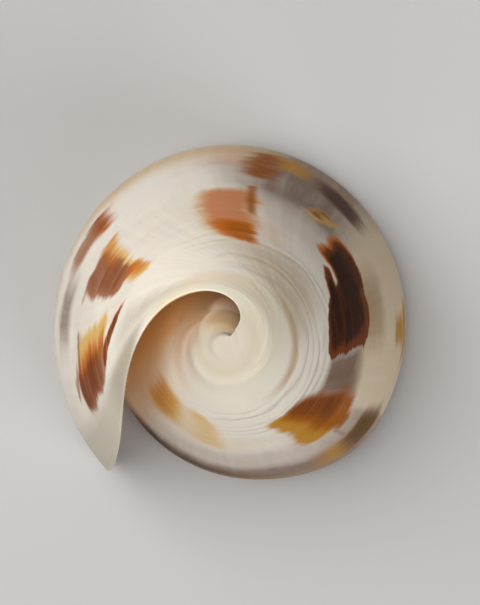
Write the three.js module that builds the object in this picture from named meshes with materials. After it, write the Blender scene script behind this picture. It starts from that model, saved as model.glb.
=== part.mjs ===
// Cone shell: one coiled solid that grows by a single spiral rule.
// Millimetres, +Z up. The shell stands on its flat spire, with the narrow front end up.
// Seen from above it grows counter-clockwise, and the edge of its mouth is the outer lip.

import * as THREE from 'three';

// Driving dimensions
const shellLength = 52;         // from the flat of the spire to the front end
const shoulderRadius = 18.1;    // from the axis to the shoulder, at the lip
const frontRadius = 5;          // where the side turns over into the front end
const coreRadius = 1.6;         // the pillar at the axis that the turns grow around
const wallThickness = 1.4;      // of the shell, away from the lip
const lipThickness = 0.45;      // of the shell, at the lip
const cordHeight = 0.12;        // of the low spiral ridges near the front end

// Growth
const shoulderWidening = 1.38;      // ratio of widths, one turn apart, at the shoulder
const frontWidening = 1.8;          // the same at the front end
const wideningBend = 2;
const shoulderLengthening = 1.38;   // ratio of heights, one turn apart, at the shoulder
const sideLengthening = 1.09;       // the same at the front of the side
const coreLengthening = 1.07;       // the same at the axis
const lengtheningBend = 0.6;
const lipAngle = degrees(227.5);    // where the lip's furthest point stands round the axis
const lipThinning = 0.2;            // turns over which the wall thins towards the lip

// Irregularities of this shell
const ovality = 0.021;              // share by which the shoulder is out of round
const ovalityAngle = degrees(115);
const swelling = 0.04;              // share by which the shoulder swells where growth once paused
const swellingTurn = -0.76;         // turns back from the lip
const swellingSpread = 0.061;       // in turns

// Side of the shell, from the shoulder up to the front end
const shoulderHeight = 3;
const sideHeight = 50.9;
const sideBend = 1.38;              // 1 is a straight cone, more is a fuller shoulder
const sideFullness = 0.7;           // 0 climbs evenly, more is a rounder side towards the front end
const sideLag = degrees(102.7);     // how far the lip falls back along the side
const evenLag = 0.65;               // share of it that comes evenly, the rest comes near the front
const evenLagBend = 4.16;
const lateLagBend = 12;
const cornerLag = degrees(2);       // how far the lip's shoulder corner is rounded back
const cornerReach = 0.25;           // share of the side that the rounded corner takes
const plainShare = 0.7;             // share of the side below the first ridge
const plainSteps = 8;
const cordCount = 6;

// Front end, an arc of an ellipse that carries on from the slope of the side and ends level at the core
const frontSteps = 9;
const frontStart = degrees(43);
const frontLag = degrees(77.4);

// Mesh of the spiral
const rowsPerTurn = 32;
const sutureRows = 2;               // rows by which the lip falls back at the suture
const chamberRows = 42;             // length of the hollow that opens at the lip
const spireRows = 192;              // length of the whole spiral, back to the tip of the spire
const tipRings = 3;
const tipHollow = 0.6;              // how far the middle of the front end lies below its edge
const tipBend = 4;                  // more is a flatter middle

function degrees(angle) {
  return THREE.MathUtils.degToRad(angle);
}

// A station is one point of the growing edge: radius and height in its own half-plane, the angle
// by which it trails the lip, and its ratios of widths and of heights one turn apart.
function station(radius, height, lag, widening, lengthening) {
  return { radius, height, lag, widening, lengthening };
}

// The flat spire: a channel beside the suture, the level band that the shell stands on, and the round rim.
function spireStations() {
  const points = [
    [13.4, 0.35, degrees(28)],
    [14.2, 0, degrees(25)],
    [16.2, 0, degrees(12)],
    [17.3, 0.35, degrees(5)],
    [17.85, 1.2, cornerLag],
  ];
  return points.map(([radius, height, lag]) => (
    station(radius, height, lag, shoulderWidening, shoulderLengthening)
  ));
}

function sideStation(share, ridge) {
  const radius = shoulderRadius - (shoulderRadius - frontRadius) * share ** sideBend;
  const climb = share + sideFullness * share * (1 - share);
  const height = THREE.MathUtils.lerp(shoulderHeight, sideHeight, climb);
  const corner = Math.max(0, 1 - share / cornerReach);
  const fallBack = evenLag * share ** evenLagBend + (1 - evenLag) * share ** lateLagBend;
  const lag = sideLag * fallBack + cornerLag * corner ** 2;
  const widening = THREE.MathUtils.lerp(shoulderWidening, frontWidening, share ** wideningBend);
  const slowing = share ** lengtheningBend;
  const lengthening = THREE.MathUtils.lerp(shoulderLengthening, sideLengthening, slowing);
  return station(radius + ridge, height, lag, widening, lengthening);
}

// The side is plain at first, then carries low spiral ridges.
function sideStations(ridgeHeight) {
  const stations = [];
  for (let step = 0; step < plainSteps; step++) {
    stations.push(sideStation(plainShare * step / plainSteps, 0));
  }
  for (let step = 0; step < 2 * cordCount; step++) {
    const share = plainShare + (1 - plainShare) * step / (2 * cordCount);
    stations.push(sideStation(share, step % 2 ? ridgeHeight : 0));
  }
  return stations;
}

function frontStations() {
  const stations = [];
  for (let step = 0; step <= frontSteps; step++) {
    const share = step / frontSteps;
    const turn = THREE.MathUtils.lerp(frontStart, Math.PI / 2, share);
    const across = Math.cos(turn) / Math.cos(frontStart);
    const up = (Math.sin(turn) - Math.sin(frontStart)) / (1 - Math.sin(frontStart));
    const radius = THREE.MathUtils.lerp(coreRadius, frontRadius, across);
    const height = THREE.MathUtils.lerp(sideHeight, shellLength, up);
    const lag = sideLag + frontLag * Math.sin(share * Math.PI / 2);
    const lengthening = THREE.MathUtils.lerp(sideLengthening, coreLengthening, share);
    stations.push(station(radius, height, lag, frontWidening, lengthening));
  }
  return stations;
}

// The suture is where each turn sits on the rim of the turn before, so it is worked back from the rim.
function sutureStation(rim) {
  const turns = (rowsPerTurn + sutureRows) / rowsPerTurn;
  const radius = rim.radius / rim.widening ** turns;
  const height = rim.height / rim.lengthening ** turns;
  const lag = rim.lag + 2 * Math.PI * (turns - 1);
  return station(radius, height, lag, rim.widening, rim.lengthening);
}

function growingEdge(ridgeHeight) {
  const spire = spireStations();
  const rim = spire[spire.length - 1];
  return [sutureStation(rim), ...spire, ...sideStations(ridgeHeight), ...frontStations()];
}

const outerEdge = growingEdge(cordHeight);
const smoothEdge = growingEdge(0);
const rimColumn = spireStations().length;
const flankColumn = rimColumn + 1;
const coreColumn = outerEdge.length - 1;

// Direction across the wall at a station, in its half-plane, pointing out of the shell.
function outward(column) {
  const before = smoothEdge[Math.max(column - 1, 0)];
  const after = smoothEdge[Math.min(column + 1, coreColumn)];
  const along = new THREE.Vector2(after.radius - before.radius, after.height - before.height).normalize();
  return column === coreColumn ? new THREE.Vector2(0, 1) : new THREE.Vector2(along.y, -along.x);
}

function innerStation(column, turns) {
  const { radius, height, lag, widening, lengthening } = smoothEdge[column];
  const age = Math.min(1, -turns / lipThinning);
  const wall = THREE.MathUtils.lerp(lipThickness, wallThickness, age);
  const away = outward(column).multiplyScalar(wall);
  return station(radius - away.x, height - away.y, lag, widening, lengthening);
}

// The growth rule: a station carried along the spiral, by turns counted back from the lip.
function grow({ radius, height, lag, widening, lengthening }, turns) {
  const angle = lipAngle + 2 * Math.PI * turns - lag;
  const shoulderShare = THREE.MathUtils.clamp((radius - frontRadius) / (shoulderRadius - frontRadius), 0, 1);
  const oval = ovality * Math.cos(2 * (angle - ovalityAngle));
  const swell = swelling * Math.exp(-(((turns - swellingTurn) / swellingSpread) ** 2));
  const reach = radius * widening ** turns * (1 + shoulderShare * (oval + swell));
  return new THREE.Vector3(
    reach * Math.cos(angle),
    reach * Math.sin(angle),
    height * lengthening ** turns,
  );
}

// The solid's skin, as vertices that neighbouring faces share.
const positions = [];
const triangles = [];
const known = new Map();

function vertex(name, makePoint) {
  if (!known.has(name)) {
    known.set(name, known.size);
    positions.push(...makePoint().toArray());
  }
  return known.get(name);
}

const lastRow = 0;
const firstRow = -spireRows;
const chamberEnd = -chamberRows;
const sutureStep = rowsPerTurn + sutureRows;

function outer(row, column) {
  if (column === 0 && row - sutureStep >= firstRow) return outer(row - sutureStep, rimColumn);
  return vertex(`outer ${row} ${column}`, () => grow(outerEdge[column], row / rowsPerTurn));
}

function inner(row, column) {
  if (column === 0) return outer(row - sutureStep, flankColumn);
  const turns = row / rowsPerTurn;
  return vertex(`inner ${row} ${column}`, () => grow(innerStation(column, turns), turns));
}

// The middle of the front end: rings that run from the core's edge in to the axis.
const tipHeight = shellLength - tipHollow;

function tip(row, ring) {
  if (ring === 0) return outer(row, coreColumn);
  if (ring === tipRings) return vertex('tip', () => new THREE.Vector3(0, 0, tipHeight));
  return vertex(`tip ${row} ${ring}`, () => {
    const share = 1 - ring / tipRings;
    const edge = grow(outerEdge[coreColumn], row / rowsPerTurn);
    const height = THREE.MathUtils.lerp(tipHeight, edge.z, share ** tipBend);
    return new THREE.Vector3(edge.x * share, edge.y * share, height);
  });
}

function triangle(a, b, c) {
  if (a !== b && b !== c && c !== a) triangles.push(a, b, c);
}

function quad(a, b, c, d) {
  triangle(a, b, c);
  triangle(a, c, d);
}

// A strip of skin between two rows and two columns, facing out of the shell.
function skin(point, fromRow, toRow, fromColumn, toColumn) {
  for (let row = fromRow; row < toRow; row++) {
    for (let column = fromColumn; column < toColumn; column++) {
      quad(point(row, column), point(row + 1, column), point(row + 1, column + 1), point(row, column + 1));
    }
  }
}

function chamberWall() {
  for (let row = chamberEnd; row < lastRow; row++) {
    for (let column = 0; column < coreColumn; column++) {
      quad(inner(row, column), inner(row, column + 1), inner(row + 1, column + 1), inner(row + 1, column));
    }
  }
}

// The pillar between the front end of one turn and the inside of the next.
function coreWall() {
  for (let row = chamberEnd; row < lastRow; row++) {
    const below = row - rowsPerTurn;
    quad(
      outer(below, coreColumn), outer(below + 1, coreColumn),
      inner(row + 1, coreColumn), inner(row, coreColumn),
    );
  }
}

function lipEdge() {
  for (let column = 0; column < coreColumn; column++) {
    quad(
      outer(lastRow, column), inner(lastRow, column),
      inner(lastRow, column + 1), outer(lastRow, column + 1),
    );
  }
  const below = lastRow - rowsPerTurn;
  triangle(outer(lastRow, coreColumn), inner(lastRow, coreColumn), outer(below, coreColumn));
  for (let ring = 0; ring < tipRings; ring++) {
    quad(tip(lastRow, ring), tip(below, ring), tip(below, ring + 1), tip(lastRow, ring + 1));
  }
}

// The far end of the hollow, closed across from the wall to the turn before.
function chamberBack() {
  const below = chamberEnd - sutureStep;
  for (let column = flankColumn; column < coreColumn; column++) {
    quad(
      inner(chamberEnd, column), outer(below, column),
      outer(below, column + 1), inner(chamberEnd, column + 1),
    );
  }
  for (let column = 1; column < flankColumn; column++) {
    triangle(inner(chamberEnd, 0), inner(chamberEnd, column + 1), inner(chamberEnd, column));
  }
  for (let row = below; row < below + sutureRows; row++) {
    triangle(inner(chamberEnd, coreColumn), outer(row, coreColumn), outer(row + 1, coreColumn));
  }
}

function spireTip() {
  const apex = vertex('apex', () => new THREE.Vector3(0, 0, grow(outerEdge[0], firstRow / rowsPerTurn).z));
  for (let row = firstRow; row < firstRow + sutureStep; row++) {
    triangle(apex, outer(row + 1, 0), outer(row, 0));
  }
  for (let column = 0; column < rimColumn; column++) {
    triangle(apex, outer(firstRow, column), outer(firstRow, column + 1));
  }
}

function shellGeometry() {
  skin(outer, firstRow, lastRow, 0, rimColumn);
  skin(outer, lastRow - sutureStep, lastRow, rimColumn, flankColumn);
  skin(outer, chamberEnd - sutureStep, lastRow, flankColumn, coreColumn);
  skin(tip, lastRow - rowsPerTurn, lastRow, 0, tipRings);
  chamberWall();
  coreWall();
  lipEdge();
  chamberBack();
  spireTip();

  const geometry = new THREE.BufferGeometry();
  geometry.setAttribute('position', new THREE.Float32BufferAttribute(positions, 3));
  geometry.setIndex(triangles);
  // The origin is the middle of the outline on the plane that the spire rests on.
  geometry.computeBoundingBox();
  const middle = geometry.boundingBox.getCenter(new THREE.Vector3());
  geometry.translate(-middle.x, -middle.y, 0);
  geometry.computeVertexNormals();
  return geometry;
}

const porcelain = new THREE.MeshStandardMaterial({ color: 0xe6dccb, roughness: 0.3, metalness: 0 });

const shell = new THREE.Mesh(shellGeometry(), porcelain);
shell.name = 'shell';

const coneShell = new THREE.Group();
coneShell.add(shell);

export default coneShell;
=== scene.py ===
import math
import bmesh
import bpy
import numpy as np
from mathutils import Matrix, Vector


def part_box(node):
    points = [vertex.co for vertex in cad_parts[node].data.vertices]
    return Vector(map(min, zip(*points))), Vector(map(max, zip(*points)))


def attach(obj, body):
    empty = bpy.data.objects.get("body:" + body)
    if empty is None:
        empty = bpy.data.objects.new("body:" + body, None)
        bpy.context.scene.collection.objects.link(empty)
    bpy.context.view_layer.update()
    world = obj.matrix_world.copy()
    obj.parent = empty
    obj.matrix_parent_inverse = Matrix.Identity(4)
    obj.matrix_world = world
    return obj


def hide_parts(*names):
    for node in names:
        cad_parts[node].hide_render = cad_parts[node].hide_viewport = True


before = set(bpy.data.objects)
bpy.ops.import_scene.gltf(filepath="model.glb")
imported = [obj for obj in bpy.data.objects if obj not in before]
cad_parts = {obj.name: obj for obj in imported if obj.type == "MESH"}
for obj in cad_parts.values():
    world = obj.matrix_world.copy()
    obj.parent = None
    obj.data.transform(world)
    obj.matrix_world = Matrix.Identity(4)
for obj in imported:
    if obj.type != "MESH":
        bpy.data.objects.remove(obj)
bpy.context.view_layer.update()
print("cone shell: frame loaded")

mm = 0.001
millilitre = 1e-6    # cubic metres
tau = 2 * math.pi


# A node's output that takes part in sums, so that a rule in nodes reads as it would on paper.
class Wire:
    def __init__(self, tree, socket):
        self.tree = tree
        self.socket = socket

    def __add__(self, other):
        return calc(self.tree, "ADD", self, other)

    def __radd__(self, other):
        return calc(self.tree, "ADD", other, self)

    def __sub__(self, other):
        return calc(self.tree, "SUBTRACT", self, other)

    def __rsub__(self, other):
        return calc(self.tree, "SUBTRACT", other, self)

    def __mul__(self, other):
        return calc(self.tree, "MULTIPLY", self, other)

    def __truediv__(self, other):
        return calc(self.tree, "DIVIDE", self, other)

    def __pow__(self, other):
        return calc(self.tree, "POWER", self, other)

    def __neg__(self):
        return calc(self.tree, "MULTIPLY", self, -1.0)

    def __lt__(self, other):
        return calc(self.tree, "LESS_THAN", self, other)

    def __gt__(self, other):
        return calc(self.tree, "GREATER_THAN", self, other)


def addNode(tree, kind, **settings):
    node = tree.nodes.new(kind)
    for name, value in settings.items():
        setattr(node, name, value)
    return node


def feed(tree, socket, value):
    if isinstance(value, Wire):
        tree.links.new(value.socket, socket)
    else:
        socket.default_value = value


def calc(tree, operation, *values):
    node = addNode(tree, "ShaderNodeMath", operation=operation)
    for socket, value in zip(node.inputs, values):
        feed(tree, socket, value)
    return Wire(tree, node.outputs[0])


def limit(value):    # kept between 0 and 1
    wire = calc(value.tree, "ADD", value, 0.0)
    wire.socket.node.use_clamp = True
    return wire


def ramp(value, start, end):    # 0 at start, 1 at end, eased at both
    node = addNode(value.tree, "ShaderNodeMapRange", interpolation_type="SMOOTHSTEP")
    feed(value.tree, node.inputs["Value"], value)
    node.inputs["From Min"].default_value = start
    node.inputs["From Max"].default_value = end
    return Wire(value.tree, node.outputs["Result"])


def fade(value, start, end):    # 1 at start, 0 at end
    return 1.0 - ramp(value, start, end)


def between(value, rise, fall):    # 1 from the end of the rise to the start of the fall
    return ramp(value, *rise) * fade(value, *fall)


def joinXyz(tree, x, y, z):
    node = addNode(tree, "ShaderNodeCombineXYZ")
    for socket, value in zip(node.inputs, (x, y, z)):
        feed(tree, socket, value)
    return Wire(tree, node.outputs[0])


def noise(tree, x, y, seed, detail=2.0):    # from -1 to 1
    node = addNode(tree, "ShaderNodeTexNoise", noise_dimensions="3D")
    feed(tree, node.inputs["Vector"], joinXyz(tree, x, y, seed))
    node.inputs["Scale"].default_value = 1.0
    node.inputs["Detail"].default_value = detail
    return Wire(tree, node.outputs[0]) * 2.0 - 1.0


# A grain is how often a noise changes in a turn and up the side, its seed step and its detail.
def shellNoise(turn, up, grain, seed):
    perTurn, perSide, seedStep, detail = grain
    return noise(turn.tree, turn * perTurn, up * perSide, seed + seedStep, detail)


# The shell grows by one rule: an edge that turns round the axis while it widens and lengthens.
shell = {
    "length": 52.0,              # millimetres, from the flat of the spire to the front end
    "shoulderRadius": 18.1,
    "frontRadius": 5.0,
    "coreRadius": 1.6,
    "wallThickness": 1.4,
    "lipThickness": 0.2,
    "lipRound": 0.1,
    "shoulderHeight": 3.0,
    "sideHeight": 50.9,
    "shoulderWidening": 1.38,    # ratio of widths one turn apart
    "frontWidening": 1.8,
    "shoulderLengthening": 1.38,
    "sideLengthening": 1.09,
    "lengtheningBend": 0.6,
    "coreLengthening": 1.045,
    "lipAngle": 227.5,           # degrees
    "lipThinning": 0.2,          # turns
    "lipThinningBend": 0.6,      # less keeps the wall thick nearer the lip
    "sideBend": 1.38,            # more is a fuller shoulder
    "sideFullness": 0.7,         # more is a rounder side towards the front end
    "sideLag": 102.7,            # how far the lip falls back along the side
    "evenLag": 0.65,
    "evenLagBend": 4.16,
    "lateLagBend": 12.0,
    "cornerLag": 2.0,
    "cornerReach": 0.25,
    "frontStart": 43.0,
    "frontLag": 77.4,
    "tipHollow": 0.6,
    "tipBend": 4.0,              # more is a flatter middle
    "tipEasing": 0.3,            # turns over which the step at the middle is eased
    "pillarWaist": 0.12,         # share by which the pillar is drawn in
    "ovality": 0.021,
    "ovalityAngle": 115.0,
    "swelling": 0.04,            # where growth once paused
    "swellingTurn": -0.76,
    "swellingSpread": 0.061,
    "cordHeight": 0.05,
    "cordCount": 5,
    "cordStart": 0.77,           # share of the side below the first cord, at the lip
    "cordEnd": 0.98,
    "spiralRise": 0.25,          # how far the spiral lines climb the side in a turn
    "growthLineHeight": 0.035,
    "wrinkleHeight": 0.09,       # beside the hook of the lip
    "ledgeHeight": 0.35,         # of the pillar above the floor of the mouth
    "ledgePlace": 1.60,          # share up the edge, reckoned forward to the lip
    "ledgeRise": 0.576,          # share that it climbs in a turn
    "seed": 7.3,
}

# steps of the mesh
mesh = {
    "rowsPerTurn": 208,
    "sutureRows": 13,
    "chamberTurns": 1.0,
    "spireTurns": 7.5,
    "startTurns": 1.2,
    "spireSteps": 2,
    "lipRows": 4,
    "plainSteps": 30,
    "fineStart": 0.62,           # share of the side above which the steps are fine
    "fineSteps": 62,
    "frontSteps": 24,
    "softSteps": 5,
    "softReach": 0.08,           # share of the side either way of the front end that is softened
    "softEdge": 1.5,             # more keeps it soft further out
    "coreSteps": 4,
    "tipRings": 8,
    "tipJoined": 4,              # rings from the edge of the tip in to where it has no step
    "weldDistance": 0.0005,      # millimetres
}

# The growth map runs from 0 at the shoulder to 1 at the end of the side, and past both.
growthMap = {
    "spire": 0.15,               # below 0
    "front": 0.3,                # past 1
    "tip": 0.1,                  # past the front
    "pillar": 1.4,               # where the pillar is put, and the ends of the sheet beside it
    "farEnd": 0.5,               # where the far end of the hollow is put
    "pillarInside": 0.5,         # how far the pillar counts as inside, from 0 to 1
}


def lerp(start, end, share):
    return start + (end - start) * share


# radius, height and lag along the flat spire, from the channel beside the suture to the rim
spirePoints = [
    (13.4, 0.35, 28.0),
    (14.2, 0.0, 25.0),
    (16.2, 0.0, 12.0),
    (17.3, 0.35, 5.0),
    (17.85, 1.2, 2.0),
]


def curveThrough(points, steps):
    padded = [points[0], *points, points[-1]]
    curve = []
    for before, start, end, after in zip(padded, padded[1:], padded[2:], padded[3:]):
        for step in range(steps):
            share = step / steps
            bend = 2 * start + (end - before) * share
            bend = bend + (2 * before - 5 * start + 4 * end - after) * share ** 2
            bend = bend + (3 * start - before - 3 * end + after) * share ** 3
            curve.append(bend / 2)
    return curve


def sideOutline(share):
    radius = lerp(shell["shoulderRadius"], shell["frontRadius"], share ** shell["sideBend"])
    climb = share + shell["sideFullness"] * share * (1 - share)
    height = lerp(shell["shoulderHeight"], shell["sideHeight"], climb)
    corner = max(0.0, 1 - share / shell["cornerReach"])
    fallBack = lerp(share ** shell["lateLagBend"], share ** shell["evenLagBend"], shell["evenLag"])
    lag = shell["sideLag"] * fallBack + shell["cornerLag"] * corner ** 2
    widening = lerp(shell["shoulderWidening"], shell["frontWidening"], share ** 2)
    slowing = share ** shell["lengtheningBend"]
    lengthening = lerp(shell["shoulderLengthening"], shell["sideLengthening"], slowing)
    return radius, height, lag, widening, lengthening, share


def frontOutline(share):
    start = math.radians(shell["frontStart"])
    turn = lerp(start, math.pi / 2, share)
    across = math.cos(turn) / math.cos(start)
    up = (math.sin(turn) - math.sin(start)) / (1 - math.sin(start))
    radius = lerp(shell["coreRadius"], shell["frontRadius"], across)
    height = lerp(shell["sideHeight"], shell["length"], up)
    lag = shell["sideLag"] + shell["frontLag"] * math.sin(share * math.pi / 2)
    lengthening = lerp(shell["sideLengthening"], shell["coreLengthening"], share)
    return radius, height, lag, shell["frontWidening"], lengthening, 1 + growthMap["front"] * share


# one row for each point of the growing edge: radius, height, lag, widening, lengthening, place along
def growingEdge():
    rim = np.array(spirePoints[-1])
    sutureTurns = 1 + mesh["sutureRows"] / mesh["rowsPerTurn"]
    shrink = shell["shoulderWidening"] ** -sutureTurns
    suture = np.array((rim[0] * shrink, rim[1] * shrink, rim[2] + 360 * (sutureTurns - 1)))
    spire = curveThrough([suture, *map(np.array, spirePoints)], mesh["spireSteps"])
    flank = np.array(sideOutline(0)[:3])
    corner = []
    for step in range(mesh["lipRows"]):
        share = step / mesh["lipRows"]
        point = lerp(rim, flank, share)
        point[0] = lerp(rim[0], flank[0], 1 - (1 - share) ** 2)
        corner.append(point)
    stations = []
    for index, point in enumerate(spire + corner):
        along = -growthMap["spire"] * (1 - index / len(spire + corner))
        stations.append((*point, shell["shoulderWidening"], shell["shoulderLengthening"], along))
    for step in range(mesh["plainSteps"]):
        stations.append(sideOutline(mesh["fineStart"] * step / mesh["plainSteps"]))
    for step in range(mesh["fineSteps"]):
        stations.append(sideOutline(lerp(mesh["fineStart"], 1.0, step / mesh["fineSteps"])))
    for step in range(mesh["frontSteps"] + 1):
        stations.append(frontOutline(step / mesh["frontSteps"]))
    stations = np.array(stations)
    # the lag runs smoothly over from the side to the front end
    lag = stations[:, 2]
    along = stations[:, 5]
    reach = mesh["softSteps"]
    window = np.ones(2 * reach + 1) / (2 * reach + 1)
    softLag = np.convolve(np.pad(lag, reach, mode="edge"), window, mode="valid")
    nearFront = np.clip(mesh["softEdge"] - np.abs(along - 1) / mesh["softReach"], 0, 1)
    stations[:, 2] = lerp(lag, softLag, nearFront)
    return stations, len(spire)


def edgeObject():
    stations, rimColumn = growingEdge()
    slope = np.gradient(stations[:, :2], axis=0)
    slope /= np.linalg.norm(slope, axis=1)[:, None]
    outward = np.stack((slope[:, 1], -slope[:, 0]), axis=1)
    outward[-1] = (0, 1)
    edgeMesh = bpy.data.meshes.new("growingEdge")
    count = len(stations)
    points = [(radius * mm, 0, height * mm) for radius, height in stations[:, :2]]
    edgeMesh.from_pydata(points, [(step, step + 1) for step in range(count - 1)], [])
    values = {
        "radius": stations[:, 0] * mm,
        "height": stations[:, 1] * mm,
        "lag": np.radians(stations[:, 2]),
        "widening": stations[:, 3],
        "lengthening": stations[:, 4],
        "along": stations[:, 5],
        "outwardRadius": outward[:, 0],
        "outwardHeight": outward[:, 1],
    }
    for name, column in values.items():
        attribute = edgeMesh.attributes.new(name, "FLOAT", "POINT")
        attribute.data.foreach_set("value", column.astype(np.float32))
    piece = bpy.data.objects.new("coneShell", edgeMesh)
    bpy.context.collection.objects.link(piece)
    return piece, rimColumn, count - 1


# Low relief of the outside. Ramps are over the turn back from the lip, the place along the edge,
# or the band, which climbs with the spiral lines.
relief = {
    "wanderGrain": (6.0, 14.0, 0.0, 2.0),
    "cordWander": 1.5,                   # of the width of a cord
    "unevenGrain": (5.0, 22.0, 9.0, 2.0),
    "cordEvenness": 0.6,
    "cordUnevenness": 1.2,
    "cordFrom": (0.75, 0.79),            # band
    "cordTo": (0.97, 1.02),
    "cordOldest": (-1.05, -0.8),         # turns
    "cordYoungest": (-0.4, -0.2),
    "cordWear": 0.8,                     # share that is gone by the lip
    "growthLineGrain": (42.0, 2.0, 20.0, 1.0),
    "growthLineFrom": (-0.02, 0.06),     # along the edge
    "growthLineTo": (0.84, 0.98),
    "wrinkleGrain": (10.0, 9.0),         # in a turn and up the side
    "wrinkleSlant": 6.0,
    "wrinkleSeedStep": 30.0,
    "wrinkleFrom": (0.9, 0.96),          # along the edge
    "wrinkleTo": (1.1, 1.25),
    "wrinkleOldest": (-0.5, -0.35),      # turns
    "wrinkleYoungest": (-0.12, -0.02),
    "ledgeEdge": (-0.015, 0.015),        # from the ledge's own line
    "ledgeFrom": (0.8, 0.92),            # along the edge
    "ledgeTo": (1.2, 1.3),
    "ledgeYoungest": (-0.85, -0.65),     # turns
}


# where a point lies across the wandering cords, pi to a cord, and how uneven they are there
def cordPattern(turn, band, start, end, count, seed):
    place = (band - start) / (end - start) * count
    wander = shellNoise(turn, band, relief["wanderGrain"], seed)
    unevenness = shellNoise(turn, band, relief["unevenGrain"], seed)
    return (place + wander * relief["cordWander"]) * math.pi, unevenness


# named inputs of the tree, each for a value of the shell
lengthInputs = (
    "Wall Thickness", "Lip Thickness", "Lip Round", "Shoulder Radius", "Front Radius",
    "Cord Height", "Growth Line Height", "Wrinkle Height", "Ledge Height",
)
angleInputs = ("Lip Angle", "Ovality Angle")
plainInputs = (
    "Lip Thinning", "Lip Thinning Bend", "Ovality", "Swelling", "Swelling Turn", "Swelling Spread",
    "Cord Count", "Cord Start", "Cord End", "Spiral Rise", "Ledge Place", "Ledge Rise", "Seed",
)


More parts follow.
